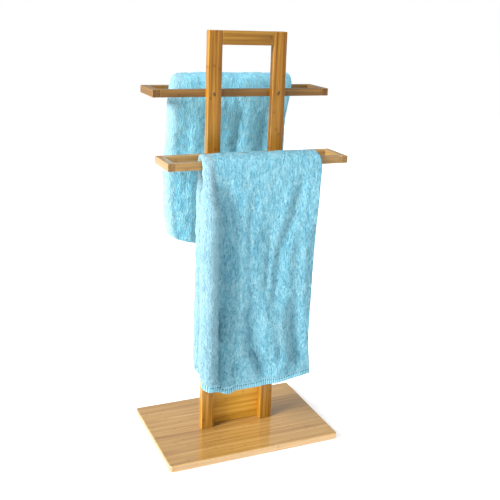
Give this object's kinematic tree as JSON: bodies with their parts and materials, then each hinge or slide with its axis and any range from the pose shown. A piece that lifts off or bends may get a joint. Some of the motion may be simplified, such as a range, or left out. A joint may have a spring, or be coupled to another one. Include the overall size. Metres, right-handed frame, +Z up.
{
  "type": "towel rack",
  "caption": "Free-standing bamboo towel rack: a post frame on a flat base carries a low loop in front and a high loop behind, each with a folded towel that lifts off.",
  "frame": {"origin": "on the floor, under the middle of the base plate", "axes": "+X along the towel bars to the right, +Y from the front loop to the rear loop, +Z up"},
  "size_m": [0.376, 0.256, 0.855],
  "materials": {
    "bamboo": "carbonised bamboo, clear satin lacquer",
    "bamboo_board": "edge-laminated bamboo board, clear satin lacquer",
    "dowel": "raw beech",
    "steel": "zinc-plated steel",
    "nut": "turned brass",
    "pad": "matt foam rubber",
    "towel": "long-pile plush terry"
  },
  "bodies": {
    "stand": {"base_plate": "bamboo_board", "base_pads": "pad", "left_post": "bamboo", "right_post": "bamboo", "top_rail": "bamboo", "foot_panel": "bamboo", "top_rail_dowels": "dowel", "base_screws": "steel", "foot_panel_screws": "steel", "lower_front_bar": "bamboo", "lower_back_bar": "bamboo", "lower_left_end": "bamboo", "lower_right_end": "bamboo", "lower_loop_dowels": "dowel", "lower_loop_bolts": "steel", "lower_loop_insert_nuts": "nut", "upper_front_bar": "bamboo", "upper_back_bar": "bamboo", "upper_left_end": "bamboo", "upper_right_end": "bamboo", "upper_loop_dowels": "dowel", "upper_loop_bolts": "steel", "upper_loop_insert_nuts": "nut"},
    "front_cloth": {"front_towel": "towel"},
    "rear_cloth": {"rear_towel": "towel"}
  },
  "joints": [
    {"name": "front_towel_lift", "type": "slide", "parent": "stand", "child": "front_cloth", "axis": [0, 0, 1], "range_m": [0, 0.5]},
    {"name": "rear_towel_lift", "type": "slide", "parent": "stand", "child": "rear_cloth", "axis": [0, 0, 1], "range_m": [0, 0.36]}
  ]
}
